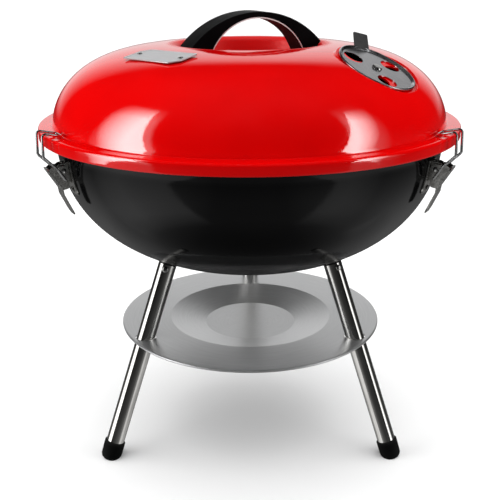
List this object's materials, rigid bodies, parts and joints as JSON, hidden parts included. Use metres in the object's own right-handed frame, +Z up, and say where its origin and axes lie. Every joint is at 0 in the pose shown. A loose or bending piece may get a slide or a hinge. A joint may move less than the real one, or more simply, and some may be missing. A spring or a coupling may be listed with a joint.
{
  "type": "kettle charcoal grill",
  "caption": "Small round charcoal grill: domed red lid with damper and arch handle, black bowl, wire latches, ash tray and splayed tube legs.",
  "frame": {"origin": "On the kettle's vertical axis at floor level, in the middle of the three feet.", "axes": "+Z up; -Y is the front, where two legs stand apart and the third is behind; +X to the right seen from the front."},
  "size_m": [0.36, 0.3678, 0.384],
  "materials": {
    "red_enamel": "high gloss enamel",
    "black_enamel": "high gloss enamel",
    "handle_nylon": "satin",
    "plain_steel": "dull",
    "zinc_steel": "bright zinc plate",
    "damper_steel": "brushed",
    "rivet_steel": "bright",
    "badge_aluminium": "satin",
    "leg_steel": "bright plated, lightly brushed",
    "tray_steel": "brushed",
    "latch_steel": "bright zinc plate",
    "latch_wire": "bright",
    "cap_rubber": "matt",
    "grate_wire": "bright plated"
  },
  "bodies": {
    "bowl_stand": {"bowl": "black_enamel", "grate_supports": "plain_steel", "bowl_damper_rivet": "rivet_steel", "leg_screws": "zinc_steel", "ash_tray": "tray_steel", "latch_rivets": "rivet_steel", "leg_socket_left": "black_enamel", "leg_socket_right": "black_enamel", "leg_socket_rear": "black_enamel", "leg_left": "leg_steel", "leg_right": "leg_steel", "leg_rear": "leg_steel", "foot_cap_left": "cap_rubber", "foot_cap_right": "cap_rubber", "foot_cap_rear": "cap_rubber", "latch_bracket_left": "latch_steel", "latch_bracket_right": "latch_steel", "latch_bracket_rear": "latch_steel", "latch_pin_left": "rivet_steel", "latch_pin_right": "rivet_steel", "latch_pin_rear": "rivet_steel"},
    "lid": {"lid": "red_enamel", "lid_handle": "handle_nylon", "handle_heat_shield": "plain_steel", "handle_screws": "zinc_steel", "handle_washers": "zinc_steel", "lid_damper_rivet": "rivet_steel", "badge_plate": "badge_aluminium", "badge_rivets": "rivet_steel"},
    "lid_damper": {"lid_damper": "damper_steel"},
    "bowl_damper": {"bowl_damper": "damper_steel"},
    "charcoal_grate": {"charcoal_grate": "grate_wire"},
    "cooking_grate": {"cooking_grate": "grate_wire"},
    "latch_lever_left": {"latch_lever_left": "latch_steel"},
    "latch_bail_left": {"latch_bail_left": "latch_wire"},
    "latch_lever_right": {"latch_lever_right": "latch_steel"},
    "latch_bail_right": {"latch_bail_right": "latch_wire"},
    "latch_lever_rear": {"latch_lever_rear": "latch_steel"},
    "latch_bail_rear": {"latch_bail_rear": "latch_wire"}
  },
  "joints": [
    {"name": "lid_lift", "type": "slide", "parent": "bowl_stand", "child": "lid", "axis": [0, 0, 1], "range_m": [0, 0.15]},
    {"name": "lid_damper_turn", "type": "hinge", "parent": "lid", "child": "lid_damper", "pos_m": [0.0983, -0.07142, 0.3441], "axis": [0.3673, -0.2668, 0.891], "range_deg": [-16, 44]},
    {"name": "bowl_damper_turn", "type": "hinge", "parent": "bowl_stand", "child": "bowl_damper", "pos_m": [0, 0, 0.1652], "axis": [0, 0, 1], "range_deg": [0, 60]},
    {"name": "charcoal_grate_lift", "type": "slide", "parent": "bowl_stand", "child": "charcoal_grate", "axis": [0, 0, 1], "range_m": [0, 0.06]},
    {"name": "cooking_grate_lift", "type": "slide", "parent": "bowl_stand", "child": "cooking_grate", "axis": [0, 0, 1], "range_m": [0, 0.03]},
    {"name": "latch_left_lever", "type": "hinge", "parent": "bowl_stand", "child": "latch_lever_left", "pos_m": [-0.14809, -0.0855, 0.2693], "axis": [-0.5, 0.866, 0], "range_deg": [0, 90]},
    {"name": "latch_left_bail", "type": "hinge", "parent": "latch_lever_left", "child": "latch_bail_left", "pos_m": [-0.1474, -0.0851, 0.2613], "axis": [-0.5, 0.866, 0], "range_deg": [-117, 0]},
    {"name": "latch_right_lever", "type": "hinge", "parent": "bowl_stand", "child": "latch_lever_right", "pos_m": [0.14809, -0.0855, 0.2693], "axis": [-0.5, -0.866, 0], "range_deg": [0, 90]},
    {"name": "latch_right_bail", "type": "hinge", "parent": "latch_lever_right", "child": "latch_bail_right", "pos_m": [0.1474, -0.0851, 0.2613], "axis": [-0.5, -0.866, 0], "range_deg": [-117, 0]},
    {"name": "latch_rear_lever", "type": "hinge", "parent": "bowl_stand", "child": "latch_lever_rear", "pos_m": [0, 0.171, 0.2693], "axis": [1, 0, 0], "range_deg": [0, 90]},
    {"name": "latch_rear_bail", "type": "hinge", "parent": "latch_lever_rear", "child": "latch_bail_rear", "pos_m": [0, 0.1702, 0.2613], "axis": [1, 0, 0], "range_deg": [-117, 0]}
  ],
  "couplings": [
    {"joint": "latch_left_bail", "follows": "latch_left_lever", "ratio": -1.3},
    {"joint": "latch_right_bail", "follows": "latch_right_lever", "ratio": -1.3},
    {"joint": "latch_rear_bail", "follows": "latch_rear_lever", "ratio": -1.3}
  ]
}
